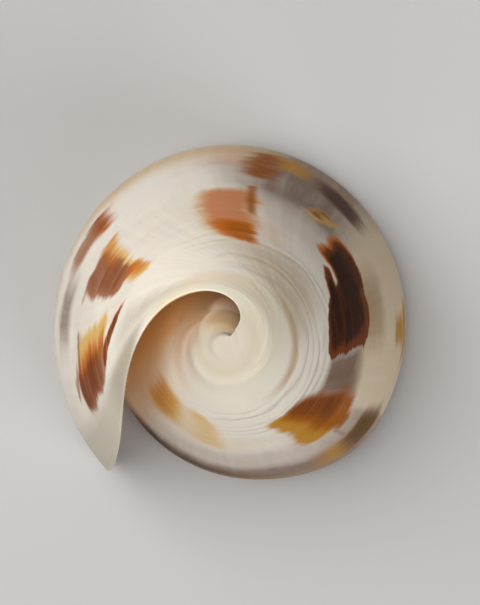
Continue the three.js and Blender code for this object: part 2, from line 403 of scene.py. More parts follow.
# Geometry Nodes: the edge is carried round the axis, out to the lip, over it and back along the inside
def growthTree():
    tree = bpy.data.node_groups.new("whorlGrowth", "GeometryNodeTree")
    tree.interface.new_socket(name="Growing Edge", in_out="INPUT", socket_type="NodeSocketGeometry")
    for name in ("Rows Per Turn", "Suture Step", "Spire Rows", "Lip Rows", "Chamber Rows", "Rim Column"):
        tree.interface.new_socket(name=name, in_out="INPUT", socket_type="NodeSocketInt")
    for name in (*lengthInputs, *angleInputs, *plainInputs, "Start Turns"):
        tree.interface.new_socket(name=name, in_out="INPUT", socket_type="NodeSocketFloat")
    tree.interface.new_socket(name="Material", in_out="INPUT", socket_type="NodeSocketMaterial")
    tree.interface.new_socket(name="Shell", in_out="OUTPUT", socket_type="NodeSocketGeometry")
    source = addNode(tree, "NodeGroupInput")
    given = {socket.name: Wire(tree, socket) for socket in source.outputs}

    # place of a point in the sheet: its row along the growth and its column along the edge
    half = 0.5    # keeps a whole number from being cut to the one below
    countNode = addNode(tree, "GeometryNodeAttributeDomainSize", component="MESH")
    feed(tree, countNode.inputs["Geometry"], given["Growing Edge"])
    columns = Wire(tree, countNode.outputs["Point Count"])
    rows = given["Spire Rows"] + given["Lip Rows"] + given["Chamber Rows"] + 1
    grid = addNode(tree, "GeometryNodeMeshGrid")
    feed(tree, grid.inputs["Vertices X"], rows)
    feed(tree, grid.inputs["Vertices Y"], columns)
    index = Wire(tree, addNode(tree, "GeometryNodeInputIndex").outputs[0])
    row = calc(tree, "FLOOR", (index + half) / columns)
    column = index - row * columns

    # the sheet runs out to the lip, over it and back in, and its first column lies on the turn before
    lipShare = limit((row - given["Spire Rows"]) / given["Lip Rows"])
    outerBack = calc(tree, "MAXIMUM", given["Spire Rows"] - row, 0.0)
    innerBack = calc(tree, "MAXIMUM", row - given["Spire Rows"] - given["Lip Rows"], 0.0)
    back = outerBack + innerBack
    atSuture = column < half
    stationIndex = column + atSuture * (given["Rim Column"] + lipShare * given["Lip Rows"]) + half
    stage = calc(tree, "MAXIMUM", -(back + atSuture * given["Suture Step"]), -given["Spire Rows"])
    turns = stage / given["Rows Per Turn"]
    wallShare = lipShare * (1.0 - atSuture)

    def station(name, place):
        named = addNode(tree, "GeometryNodeInputNamedAttribute", data_type="FLOAT")
        named.inputs["Name"].default_value = name
        sampler = addNode(tree, "GeometryNodeSampleIndex", data_type="FLOAT", domain="POINT")
        feed(tree, sampler.inputs["Geometry"], given["Growing Edge"])
        feed(tree, sampler.inputs["Value"], Wire(tree, named.outputs["Attribute"]))
        feed(tree, sampler.inputs["Index"], place)
        return Wire(tree, sampler.outputs[0])

    # low relief of the outside: cords towards the front, growth lines, wrinkles and the pillar's ledge
    along = station("along", stationIndex)
    band = along - turns * given["Spiral Rise"]
    cordPlace, unevenness = cordPattern(
        turns, band, given["Cord Start"], given["Cord End"], given["Cord Count"], given["Seed"])
    cordWave = calc(tree, "SINE", cordPlace)
    cordZone = limit(relief["cordEvenness"] + unevenness * relief["cordUnevenness"])
    cordZone = cordZone * ramp(band, *relief["cordFrom"]) * fade(band, *relief["cordTo"])
    cordZone = cordZone * ramp(turns, *relief["cordOldest"])
    cordZone = cordZone * (1.0 - ramp(turns, *relief["cordYoungest"]) * relief["cordWear"])
    cord = cordWave * cordWave * cordZone * given["Cord Height"]
    growthLine = shellNoise(turns, along, relief["growthLineGrain"], given["Seed"])
    lineZone = between(along, relief["growthLineFrom"], relief["growthLineTo"])
    wrinklesPerTurn, wrinklesPerSide = relief["wrinkleGrain"]
    wrinklePlace = turns * wrinklesPerTurn + along * relief["wrinkleSlant"]
    wrinkleSeed = given["Seed"] + relief["wrinkleSeedStep"]
    wrinkle = noise(tree, wrinklePlace, along * wrinklesPerSide, wrinkleSeed)
    wrinkleZone = between(along, relief["wrinkleFrom"], relief["wrinkleTo"])
    wrinkleZone = wrinkleZone * ramp(turns, *relief["wrinkleOldest"])
    wrinkleZone = wrinkleZone * fade(turns, *relief["wrinkleYoungest"])
    ledge = ramp(along - turns * given["Ledge Rise"] - given["Ledge Place"], *relief["ledgeEdge"])
    ledgeZone = between(along, relief["ledgeFrom"], relief["ledgeTo"])
    ledgeZone = ledgeZone * fade(turns, *relief["ledgeYoungest"])
    raised = cord + growthLine * lineZone * given["Growth Line Height"]
    raised = raised + wrinkle * wrinkleZone * given["Wrinkle Height"]
    raised = raised + ledge * ledgeZone * given["Ledge Height"]

    # the wall, thin at the lip
    age = limit(-turns / given["Lip Thinning"]) ** given["Lip Thinning Bend"]
    wall = given["Lip Thickness"] + (given["Wall Thickness"] - given["Lip Thickness"]) * age
    inward = wall * wallShare - raised * (1.0 - wallShare)
    radius = station("radius", stationIndex) - station("outwardRadius", stationIndex) * inward
    height = station("height", stationIndex) - station("outwardHeight", stationIndex) * inward
    lipBulge = calc(tree, "SINE", wallShare * math.pi) * given["Lip Round"] / radius

    # the growth rule
    angle = given["Lip Angle"] + turns * tau - station("lag", stationIndex) + lipBulge
    shoulderSpan = given["Shoulder Radius"] - given["Front Radius"]
    shoulderShare = limit((radius - given["Front Radius"]) / shoulderSpan)
    oval = calc(tree, "COSINE", (angle - given["Ovality Angle"]) * 2.0) * given["Ovality"]
    fromPause = (turns - given["Swelling Turn"]) / given["Swelling Spread"]
    swell = calc(tree, "EXPONENT", -(fromPause * fromPause)) * given["Swelling"]
    start = limit((stage + given["Spire Rows"]) / given["Rows Per Turn"] / given["Start Turns"])
    reach = radius * station("widening", stationIndex) ** turns
    reach = reach * (1.0 + shoulderShare * (oval + swell)) * start
    rise = height * station("lengthening", stationIndex) ** turns * start
    place = joinXyz(tree, reach * calc(tree, "COSINE", angle), reach * calc(tree, "SINE", angle), rise)
    move = addNode(tree, "GeometryNodeSetPosition")
    feed(tree, move.inputs["Geometry"], Wire(tree, grid.outputs["Mesh"]))
    feed(tree, move.inputs["Position"], place)
    flow = Wire(tree, move.outputs[0])

    def store(flow, name, kind, domain, value):
        node = addNode(tree, "GeometryNodeStoreNamedAttribute", data_type=kind, domain=domain)
        feed(tree, node.inputs["Geometry"], flow)
        node.inputs["Name"].default_value = name
        feed(tree, node.inputs["Value"], value)
        return Wire(tree, node.outputs[0])

    ownTurns = -back / given["Rows Per Turn"]
    atPoints = addNode(tree, "GeometryNodeFieldOnDomain", data_type="FLOAT_VECTOR", domain="POINT")
    feed(tree, atPoints.inputs[0], joinXyz(tree, ownTurns, station("along", column + half), 0.0))
    growthPlace = Wire(tree, atPoints.outputs[0])
    flow = store(flow, "growthRow", "FLOAT", "POINT", row)
    flow = store(flow, "edgeColumn", "FLOAT", "POINT", column)
    flow = store(flow, "inside", "FLOAT", "POINT", lipShare)
    flow = store(flow, "growthMap", "FLOAT2", "CORNER", growthPlace)

    # faces that the next turn covers are left out
    def faceValue(name):
        named = addNode(tree, "GeometryNodeInputNamedAttribute", data_type="FLOAT")
        named.inputs["Name"].default_value = name
        return Wire(tree, named.outputs["Attribute"])

    faceRow = faceValue("growthRow")
    faceColumn = faceValue("edgeColumn")
    pastRim = faceColumn > given["Rim Column"]
    onSeat = faceColumn < given["Rim Column"] + given["Lip Rows"]
    underTurn = faceRow < given["Spire Rows"] - given["Suture Step"]
    behindChamber = faceRow < given["Spire Rows"] - given["Suture Step"] - given["Chamber Rows"]
    covered = calc(tree, "MAXIMUM", pastRim * onSeat * underTurn, pastRim * behindChamber)
    remove = addNode(tree, "GeometryNodeDeleteGeometry", domain="FACE", mode="ALL")
    feed(tree, remove.inputs["Geometry"], flow)
    feed(tree, remove.inputs["Selection"], covered)
    smooth = addNode(tree, "GeometryNodeSetShadeSmooth")
    feed(tree, smooth.inputs["Geometry"], Wire(tree, remove.outputs[0]))
    real = addNode(tree, "GeometryNodeRealizeInstances")
    feed(tree, real.inputs["Geometry"], Wire(tree, smooth.outputs[0]))
    paint = addNode(tree, "GeometryNodeSetMaterial")
    feed(tree, paint.inputs["Geometry"], Wire(tree, real.outputs[0]))
    feed(tree, paint.inputs["Material"], given["Material"])
    finish = addNode(tree, "NodeGroupOutput")
    feed(tree, finish.inputs["Shell"], Wire(tree, paint.outputs[0]))
    return tree


def valueFor(socketName):    # "Lip Angle" is shell["lipAngle"]
    first, *others = socketName.split()
    return float(shell[first.lower() + "".join(others)])


def grownMesh(piece, rimColumn, material):
    tree = growthTree()
    perTurn = mesh["rowsPerTurn"]
    inputs = {
        "Rows Per Turn": perTurn,
        "Suture Step": perTurn + mesh["sutureRows"],
        "Spire Rows": int(perTurn * mesh["spireTurns"]),
        "Lip Rows": mesh["lipRows"],
        "Chamber Rows": int(perTurn * mesh["chamberTurns"]),
        "Rim Column": rimColumn,
        "Start Turns": mesh["startTurns"],
        "Material": material,
    }
    inputs.update({name: valueFor(name) * mm for name in lengthInputs})
    inputs.update({name: math.radians(valueFor(name)) for name in angleInputs})
    inputs.update({name: valueFor(name) for name in plainInputs})
    modifier = piece.modifiers.new("growth", "NODES")
    modifier.node_group = tree
    for item in tree.interface.items_tree:
        if item.in_out == "INPUT" and item.name in inputs:
            modifier[item.identifier] = inputs[item.name]
    scratch = bpy.context.evaluated_depsgraph_get()
    grown = bpy.data.meshes.new_from_object(piece.evaluated_get(scratch))
    piece.modifiers.remove(modifier)
    return grown, inputs


# The pillar, the middle of the front end and the far end of the hollow close the sheet.
def closeShell(grown, inputs, coreColumn):
    perTurn = inputs["Rows Per Turn"]
    sutureStep = inputs["Suture Step"]
    chamberEnd = -inputs["Chamber Rows"]
    flankColumn = inputs["Rim Column"] + inputs["Lip Rows"]
    work = bmesh.new()
    work.from_mesh(grown)
    rowLayer = work.verts.layers.float["growthRow"]
    columnLayer = work.verts.layers.float["edgeColumn"]
    insideLayer = work.verts.layers.float["inside"]
    mapLayer = work.loops.layers.uv["growthMap"]
    places = {(round(point[rowLayer]), round(point[columnLayer])): point for point in work.verts}
    lipRow = inputs["Spire Rows"]
    work.faces.ensure_lookup_table()
    materialIndex = work.faces[0].material_index

    def outer(row, column):
        return places[lipRow + row, column]

    def inner(row, column):
        return places[lipRow + inputs["Lip Rows"] - row, column]

    def addFace(points, turn, along):
        face = work.faces.new(points)
        face.smooth = True
        face.material_index = materialIndex
        for loop in face.loops:
            loop[mapLayer].uv = (turn, along)
        return face

    def corners(sheet, row, step):
        return [sheet[row, step], sheet[row + 1, step], sheet[row + 1, step + 1], sheet[row, step + 1]]

    def addPoint(spot, inside):
        point = work.verts.new(spot)
        point[insideLayer] = inside
        return point

    # wall of the pillar, from the front end of one turn to the inside of the next
    coreSteps = mesh["coreSteps"]
    pillar = {}
    for row in range(chamberEnd, 1):
        low = outer(row - perTurn, coreColumn)
        high = inner(row, coreColumn)
        pillar[row, 0] = low
        pillar[row, coreSteps] = high
        for step in range(1, coreSteps):
            spot = low.co.lerp(high.co, step / coreSteps)
            waist = 1 - shell["pillarWaist"] * math.sin(math.pi * step / coreSteps)
            spot = (spot.x * waist, spot.y * waist, spot.z)
            pillar[row, step] = addPoint(spot, growthMap["pillarInside"])
    for row in range(chamberEnd, 0):
        for step in range(coreSteps):
            addFace(corners(pillar, row, step), row / perTurn, growthMap["pillar"])

    # middle of the front end
    tipHeight = (shell["length"] - shell["tipHollow"]) * mm
    middle = addPoint((0, 0, tipHeight), 0.0)
    rings = mesh["tipRings"]
    tip = {}
    lipHeight = outer(0, coreColumn).co.z
    joined = mesh["tipJoined"]
    for row in range(-perTurn, 1):
        edge = outer(row, coreColumn)
        tip[row, 0] = edge
        tip[row, rings] = middle
        easing = max(0.0, 1 - (row / perTurn + 1) / shell["tipEasing"]) ** 2
        for ring in range(1, rings):
            share = 1 - ring / rings
            eased = easing * min(1.0, ring / joined)
            spread = share * lerp(1.0, shell["frontWidening"], eased)
            edgeHeight = lerp(edge.co.z, lipHeight, eased)
            height = lerp(tipHeight, edgeHeight, share ** shell["tipBend"])
            tip[row, ring] = addPoint((edge.co.x * spread, edge.co.y * spread, height), 0.0)
    for ring in range(joined, rings):
        work.verts.remove(tip[-perTurn, ring])
        tip[-perTurn, ring] = tip[0, ring]
    for row in range(-perTurn, 0):
        for ring in range(rings):
            along = 1 + growthMap["front"] + growthMap["tip"] * ring / rings
            addFace(list(dict.fromkeys(corners(tip, row, ring))), row / perTurn, along)

    # step from the lip down to the turn before
    for ring in range(joined):
        stepCorners = [tip[0, ring], tip[-perTurn, ring], tip[-perTurn, ring + 1], tip[0, ring + 1]]
        addFace(list(dict.fromkeys(stepCorners)), 0.0, growthMap["pillar"])
    lipEnd = [places[lipRow + step, coreColumn] for step in range(inputs["Lip Rows"] + 1)]
    pillarEnd = [pillar[0, step] for step in range(coreSteps - 1, -1, -1)]
    ends = [addFace(lipEnd + pillarEnd, 0.0, growthMap["pillar"])]

    # far end of the hollow
    below = chamberEnd - sutureStep
    farTurn = -mesh["chamberTurns"]
    for column in range(flankColumn, coreColumn):
        wall = (
            inner(chamberEnd, column), outer(below, column),
            outer(below, column + 1), inner(chamberEnd, column + 1),
        )
        addFace(wall, farTurn, growthMap["farEnd"])
    for column in range(1, flankColumn):
        wall = (inner(chamberEnd, 0), inner(chamberEnd, column + 1), inner(chamberEnd, column))
        addFace(wall, farTurn, 0.0)
    coreStrip = [outer(row, coreColumn) for row in range(below, below + mesh["sutureRows"])]
    backStrip = [pillar[chamberEnd, step] for step in range(coreSteps + 1)]
    ends.append(addFace(coreStrip + backStrip, farTurn, growthMap["pillar"]))

    bmesh.ops.triangulate(work, faces=ends)
    bmesh.ops.remove_doubles(work, verts=work.verts, dist=mesh["weldDistance"] * mm)
    loose = [point for point in work.verts if not point.link_faces]
    bmesh.ops.delete(work, geom=loose, context="VERTS")
    openEdges = sum(1 for edge in work.edges if len(edge.link_faces) != 2)
    volume = round(work.calc_volume(signed=True) / millilitre, 3)
    work.to_mesh(grown)
    work.free()
    grown.calc_loop_triangles()
    print("cone shell:", len(grown.loop_triangles), "triangles,", openEdges, "open edges,", volume, "ml")


# moved from the axis to the middle of the frame's box, which is where the solid stands
def centreOnFrame(grown):
    low, high = (np.array(corner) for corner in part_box("shell"))
    spots = np.empty(len(grown.vertices) * 3, np.float32)
    grown.vertices.foreach_get("co", spots)
    spots = spots.reshape(-1, 3)
    shift = (low + high) / 2 - (spots.min(axis=0) + spots.max(axis=0)) / 2
    shift[2] = low[2] - spots[:, 2].min()
    grown.transform(Matrix.Translation(Vector(shift)))
    return Vector(shift)


# Colours of the shell and its finish.
porcelain = {
    "white": (0.88, 0.795, 0.68),
    "lilac": (0.56, 0.46, 0.39),
    "grey": (0.26, 0.18, 0.135),
    "cream": (0.78, 0.62, 0.42),
    "shade": (0.56, 0.44, 0.30),
    "front": (0.86, 0.765, 0.59),
    # partly the front end's real cream, partly painted shade: darkened so that the up-facing dome is no
    # brighter than the sides
    "dome": (0.55, 0.49, 0.375),
    "lip": (0.58, 0.52, 0.42),
    "lipBend": (0.42, 0.37, 0.29),
    "tan": (0.46, 0.31, 0.17),
    "salmon": (0.68, 0.40, 0.25),
    "rust": (0.60, 0.23, 0.10),
    "rosy": (0.37, 0.15, 0.072),
    "amber": (0.52, 0.235, 0.022),
    "sienna": (0.36, 0.100, 0.003),
    "umber": (0.17, 0.085, 0.045),
    "bronze": (0.14, 0.065, 0.012),
    "golden": (0.74, 0.45, 0.13),
    "orange": (0.58, 0.145, 0.016),
    "brown": (0.185, 0.044, 0.007),
    "dark": (0.036, 0.010, 0.003),
    "groove": (0.48, 0.31, 0.15),
    # partly the warm glaze inside the mouth, partly painted light: lightened and warmed for light that
    # comes through the thin lip and back from the walls
    "mouth": (0.95, 0.63, 0.325),
    # partly the brown of the turn before, partly painted shade deep in the mouth under the lip
    "floor": (0.44, 0.26, 0.13),
    "pillar": (0.55, 0.385, 0.205),
    # painted shade: the white middle of the tip is darkened, as it faces up to the light
    "middle": (0.54, 0.48, 0.39),
    "roughness": 0.36,
    "gloss": 1.035,            # refraction, low for a soft gloss
    "glow": 0.35,              # share of light that goes into the shell and comes out beside
    "glowDepth": 2.2,          # millimetres
    "glowColour": (1.0, 0.55, 0.3),
    "bumpStrength": 0.5,
    "bumpHeight": 0.06,        # millimetres
    "bumpWear": 0.8,           # share that is gone at the front
    "turnLength": 80.0,        # millimetres round the side in a turn, about halfway up
    "sideLength": 52.0,        # millimetres up the side
    "corner": 0.75,            # how round the corners of a patch are
    "fray": 0.8,               # millimetres by which the ends of a patch are frayed along the spiral
    "fineFray": 0.4,           # share of it again, finer
    "waver": 1.5,              # millimetres by which its outline wavers up and down
    "endWaver": 0.6,           # share of it round the shell
    "growthLineWaver": 0.2,    # millimetres
    "lineSharpness": 3.0,      # of the grey lines between the cords
    "seed": 3.1,
}

# Noise that the colours use, along the spiral lines (band) or straight up the side (share).
grains = {
    "streak": ("band", (8.0, 30.0, 0.0, 4.0)),
    "fineStreak": ("band", (9.0, 120.0, 5.0, 2.0)),
    "growthLine": ("share", (90.0, 3.0, 11.0, 2.0)),
    "cloud": ("share", (9.0, 5.0, 17.0, 2.0)),
    "wobble": ("share", (22.0, 9.0, 23.0, 3.0)),
    "waver": ("share", (16.0, 12.0, 41.0, 3.0)),
    "flame": ("share", (17.0, 6.0, 31.0, 2.0)),
}

# How much of each noise goes into a mix, after its plain part if it has one.
mixes = {
    "lilac": {"plain": 0.10, "cloud": 0.7, "growthLine": 0.25, "streak": 0.2},
    "tintStreaks": {"plain": 1.05, "growthLine": 0.3, "cloud": 0.3},
    "markStreaks": {"plain": 1.1, "streak": 0.3, "fineStreak": 0.16},
    "shadeStreaks": {"plain": 1.0, "streak": 0.9, "fineStreak": 0.45},
    "tintTurn": {"wobble": 0.008, "streak": 0.008},
    "tintShare": {"cloud": 0.02},
    "lipTurn": {"wobble": 0.006},
    "pauseTurn": {"wobble": 0.004},
    "thinLineTurn": {"wobble": 0.002},
    "frontBand": {"wobble": 0.01},
    "creamBand": {"streak": 0.02},
    "roughness": {"growthLine": 0.05, "cloud": 0.04},
    "bump": {"plain": 0.0, "growthLine": 0.5, "fineStreak": 0.35},
}

# Ramps that bound the colours, over the turn, the share up the side, the band,
# or the height above the line of the pillar's ledge.
bounds = {
    "lipTurn": (-0.055, -0.025),
    "lipTop": (0.84, 0.93),
    "lipBend": (0.60, 0.76),
    "pauseEdge": (-0.724, -0.714),
    "pauseTurn": (-0.82, -0.72),
    "pauseTop": (0.28, 0.42),
    "frontFrom": (0.76, 0.80),
    "lineOldest": (-0.95, -0.75),
    "lineYoungest": (-0.36, -0.22),
    "topFrom": (0.77, 0.84),
    "topTo": (0.96, 1.02),
    "topOldest": (-0.58, -0.46),
    "topYoungest": (-0.38, -0.26),
    "creamFrom": (0.93, 1.06),
    "creamOldest": (-0.58, -0.38),
    "shadedDomeFrom": (1.05, 1.22),
    "grooveFrom": (0.965, 0.985),
    "grooveTo": (0.99, 1.025),
    "grooveOldest": (-0.72, -0.60),
    "grooveYoungest": (-0.45, -0.30),
    "yellowFrom": (0.90, 0.94),
    "yellowTo": (0.96, 1.02),
    "yellowOldest": (-0.36, -0.25),
    "flame": (0.05, 0.35),
    "flameHeart": (0.25, 0.55),
    "spireTo": (-0.05, 0.01),
    "mouthYoungest": (-1.10, -0.99),
    "mouthFrom": (0.0, 0.02),
    "mouthTo": (0.82, 1.05),
    "deepFloorYoungest": (-0.97, -0.84),
    "nearFloorYoungest": (-0.75, -0.60),
    "nearFloorFrom": (0.90, 1.10),
    "floorLedge": (-0.02, 0.01),
    "floorFrom": (0.78, 0.95),
    "middleFrom": (1.22, 1.3),
    "pillarLedge": (-0.02, 0.06),
    "pillarFrom": (0.98, 1.05),
    "pillarTo": (1.25, 1.3),
    "pillarYoungest": (-0.92, -0.66),
    "innerFace": (0.6, 1.0),
    "bumpTo": (0.75, 0.95),
}

# How strong each layer of colour is.
strengths = {
    "lilac": 0.8,
    "pause": 0.6,
    "front": 0.85,
    "line": 0.4,               # least, before the unevenness of the cords
    "top": 0.7,
    "oldCream": 0.25,
    "youngCream": 0.6,         # added towards the lip
    "groove": 0.7,
    "yellow": 0.55,
    "lip": 0.9,
    "lipBend": 0.8,
    "flame": 0.8,
    "mouth": 0.9,
    "deepFloor": 0.85,
    "nearFloor": 0.6,
    "floor": 0.85,
    "pillar": 0.8,
    "innerFace": 0.92,
}

# A patch of colour is placed by its turn back from the lip and its share up the side:
# turn, share, half length in turns, half height, lean,
# then how soft its edge is in millimetres, its strength and its colour.
tintsAndRimShade = [
    (-0.860, 0.200, 0.140, 0.250, 0.00, 6.0, 0.70, "lilac"),
    # painted shade: this grey tint and the umber below darken the lower-left rim towards its edge, where
    # it lies in shade
    (-0.880, 0.090, 0.150, 0.180, 0.00, 6.0, 1.00, "grey"),
    (-0.930, 0.060, 0.090, 0.130, 0.00, 5.0, 0.90, "umber"),
    (-0.457, 0.200, 0.075, 0.240, 0.00, 7.0, 0.95, "grey"),
    # painted shadow of the lip on the lower-left rim
    (-0.970, 0.080, 0.065, 0.130, 0.00, 6.0, 0.75, "dark"),
    (-0.310, 0.080, 0.090, 0.110, 0.00, 5.0, 0.60, "cream"),
    (-0.310, 0.050, 0.100, 0.070, 0.00, 5.0, 0.35, "golden"),
    # painted shade: a long tan band darkens the whole rim, where the side turns away from the light
    (-0.560, 0.030, 0.460, 0.100, 0.00, 5.0, 0.35, "tan"),
    (-0.446, 0.480, 0.050, 0.080, 0.00, 5.0, 0.50, "lilac"),
    (-0.670, 0.530, 0.034, 0.140, 0.00, 3.0, 1.00, "grey"),
    (-0.675, 0.520, 0.020, 0.110, 0.00, 4.0, 0.40, "umber"),
    (-0.620, 0.170, 0.105, 0.250, 0.00, 6.0, 0.95, "cream"),
    (-0.602, 0.338, 0.038, 0.080, 0.00, 4.0, 0.80, "tan"),
    (-0.149, 0.307, 0.030, 0.067, 0.00, 4.0, 0.80, "grey"),
    (-0.374, 0.167, 0.020, 0.082, 0.00, 4.0, 0.60, "salmon"),
    (-0.418, 0.620, 0.021, 0.058, 0.00, 4.0, 0.45, "salmon"),
    (-0.910, 0.585, 0.090, 0.120, 0.00, 5.0, 0.50, "cream"),
]
marks = [
    # beside the lip
    (-0.078, 0.860, 0.030, 0.090, 0.00, 5.0, 0.75, "lip"),
    (-0.104, 0.562, 0.022, 0.112, -0.05, 1.2, 0.90, "golden"),
    (-0.071, 0.556, 0.026, 0.116, -0.05, 0.8, 0.90, "rosy"),
    (-0.098, 0.705, 0.018, 0.040, -0.80, 0.8, 0.80, "orange"),
    (-0.080, 0.412, 0.009, 0.030, -0.30, 0.7, 0.75, "rosy"),
    # second, with its golden tip
    (-0.196, 0.690, 0.019, 0.052, 0.10, 1.0, 0.90, "golden"),
    (-0.214, 0.540, 0.015, 0.112, 0.12, 1.2, 0.85, "golden"),
    (-0.188, 0.560, 0.027, 0.122, 0.08, 0.9, 0.92, "rosy"),
    (-0.168, 0.462, 0.012, 0.012, 0.00, 0.6, 0.40, "rosy"),
    # orange, with salmon below
    (-0.360, 0.575, 0.036, 0.148, 0.07, 2.0, 0.60, "golden"),
    (-0.363, 0.560, 0.031, 0.135, 0.07, 2.4, 0.92, "rust"),
    (-0.481, 0.365, 0.012, 0.038, 0.30, 1.2, 0.90, "golden"),
    # the largest and darkest
    (-0.533, 0.450, 0.036, 0.084, 0.10, 0.8, 0.90, "orange"),
    (-0.545, 0.581, 0.031, 0.031, 0.00, 0.6, 0.80, "orange"),
    (-0.591, 0.515, 0.049, 0.136, 0.00, 0.5, 1.00, "brown"),
    (-0.546, 0.581, 0.029, 0.027, 0.00, 0.6, 1.00, "brown"),
    (-0.542, 0.450, 0.037, 0.079, 0.10, 0.7, 1.00, "brown"),
    # below the growth stop
    (-0.757, 0.522, 0.031, 0.146, 0.03, 1.5, 0.95, "amber"),
    (-0.728, 0.520, 0.030, 0.152, 0.00, 2.0, 0.92, "sienna"),
    (-0.734, 0.376, 0.014, 0.034, 0.00, 1.2, 0.80, "sienna"),
    # pale ones by the mouth
    (-0.906, 0.590, 0.024, 0.115, 0.05, 3.0, 0.75, "golden"),
    (-0.940, 0.570, 0.040, 0.090, 0.00, 5.0, 0.45, "cream"),
    (-0.985, 0.600, 0.038, 0.110, 0.10, 3.5, 0.85, "golden"),
    # row on the shoulder
    (-0.213, 0.262, 0.025, 0.054, 0.00, 2.2, 0.85, "rosy"),
    (-0.238, 0.258, 0.011, 0.078, 0.00, 1.8, 0.90, "orange"),
    (-0.427, 0.143, 0.022, 0.062, 0.00, 2.0, 0.80, "amber"),
    (-0.403, 0.200, 0.014, 0.114, 0.00, 1.8, 0.85, "sienna"),
    (-0.488, 0.177, 0.029, 0.058, -0.10, 2.0, 0.92, "umber"),
    (-0.631, 0.115, 0.013, 0.045, 0.00, 1.4, 0.85, "amber"),
    (-0.634, 0.040, 0.030, 0.026, 0.00, 1.6, 0.80, "amber"),
    (-0.771, 0.190, 0.024, 0.088, 0.00, 3.0, 0.70, "amber"),
    (-0.741, 0.177, 0.022, 0.085, 0.00, 2.6, 0.95, "umber"),
]
# deeper colour within the marks
shades = [
    (-0.093, 0.560, 0.014, 0.102, -0.05, 1.4, 0.85, "orange"),
    (-0.070, 0.540, 0.022, 0.105, -0.05, 1.6, 0.85, "brown"),
    (-0.095, 0.705, 0.016, 0.037, -0.80, 0.9, 0.95, "brown"),
    (-0.201, 0.680, 0.013, 0.042, 0.10, 1.5, 0.70, "orange"),
    (-0.218, 0.490, 0.011, 0.065, 0.15, 1.2, 0.65, "orange"),
    (-0.190, 0.550, 0.020, 0.105, 0.08, 1.8, 0.50, "brown"),
    (-0.357, 0.665, 0.031, 0.056, 0.00, 1.5, 0.92, "orange"),
    (-0.362, 0.670, 0.022, 0.042, 0.00, 1.8, 0.70, "sienna"),
    (-0.480, 0.360, 0.008, 0.030, 0.30, 1.2, 0.75, "brown"),
    (-0.584, 0.525, 0.042, 0.112, 0.00, 1.4, 0.90, "dark"),
    (-0.550, 0.581, 0.024, 0.021, 0.00, 0.8, 0.85, "dark"),
    (-0.544, 0.450, 0.033, 0.070, 0.10, 1.0, 0.95, "dark"),
    (-0.721, 0.555, 0.021, 0.115, 0.00, 2.2, 0.80, "brown"),
    (-0.990, 0.600, 0.028, 0.085, 0.10, 3.5, 0.45, "orange"),
    (-0.235, 0.250, 0.010, 0.068, 0.00, 1.6, 0.70, "brown"),
    (-0.404, 0.200, 0.010, 0.100, 0.00, 2.0, 0.45, "brown"),
    (-0.488, 0.177, 0.020, 0.040, -0.10, 1.4, 0.70, "dark"),
    (-0.738, 0.170, 0.020, 0.074, 0.00, 2.4, 0.95, "bronze"),
]
thinLines = [
    (-0.109, 0.462, 0.020, 0.008, 0.00, 0.7, 0.60, "brown"),
    (-0.396, 0.468, 0.005, 0.085, 0.03, 0.7, 0.80, "sienna"),
    (-0.752, 0.320, 0.002, 0.040, 0.00, 0.5, 0.40, "umber"),
]


def newGroup(name, inputs, outputs):
    tree = bpy.data.node_groups.new(name, "ShaderNodeTree")
    for direction, names in (("INPUT", inputs), ("OUTPUT", outputs)):
        for socket in names:
            tree.interface.new_socket(name=socket, in_out=direction, socket_type="NodeSocketFloat")
    source = addNode(tree, "NodeGroupInput")
    given = {socket.name: Wire(tree, socket) for socket in source.outputs}
    return tree, given, addNode(tree, "NodeGroupOutput")


patchPlace = ("Middle Turn", "Middle Share", "Half Length", "Half Height", "Lean")


# shader group: how many millimetres a point lies inside a patch with round corners
def patchGroup():
    tree, given, finish = newGroup("patch", ("Turn", "Share", *patchPlace), ("Depth",))
    halfLength = given["Half Length"] * porcelain["turnLength"]
    halfHeight = given["Half Height"] * porcelain["sideLength"]
    corner = calc(tree, "MINIMUM", halfLength, halfHeight) * porcelain["corner"]
    fromShare = given["Share"] - given["Middle Share"]
    fromTurn = given["Turn"] - given["Middle Turn"] - fromShare * given["Lean"]
    across = calc(tree, "ABSOLUTE", fromTurn * porcelain["turnLength"]) - halfLength + corner
    up = calc(tree, "ABSOLUTE", fromShare * porcelain["sideLength"]) - halfHeight + corner
    acrossPast = calc(tree, "MAXIMUM", across, 0.0)
    upPast = calc(tree, "MAXIMUM", up, 0.0)
    past = calc(tree, "SQRT", acrossPast * acrossPast + upPast * upPast)
    within = calc(tree, "MINIMUM", calc(tree, "MAXIMUM", across, up), 0.0)
    feed(tree, finish.inputs["Depth"], corner - past - within)
    return tree


def patchDepth(tree, patch, given, place):
    node = addNode(tree, "ShaderNodeGroup", node_tree=patch)
    feed(tree, node.inputs["Turn"], given["Turn"])
    feed(tree, node.inputs["Share"], given["Share"])
    for name, value in zip(patchPlace, place):
        feed(tree, node.inputs[name], value)
    return Wire(tree, node.outputs["Depth"])


def mixColour(tree, share, under, over):
    node = addNode(tree, "ShaderNodeMix", data_type="RGBA")
    feed(tree, node.inputs["Factor"], share)
    colourInputs = (node.inputs[6], node.inputs[7])    # by number, because their names repeat
    for socket, value in zip(colourInputs, (under, over)):
        feed(tree, socket, value if isinstance(value, Wire) else (*value, 1.0))
    return Wire(tree, node.outputs[2])


# one patch after another over the colour so far
def layPatches(tree, group, place, patches, colour, streaks):
    for *spot, soft, strength, name in patches:
        depth = patchDepth(tree, group, place, spot)
        mask = ramp(depth, -0.5 * soft, 0.5 * soft) * strength
        colour = mixColour(tree, limit(mask * streaks), colour, porcelain[name])
    return colour


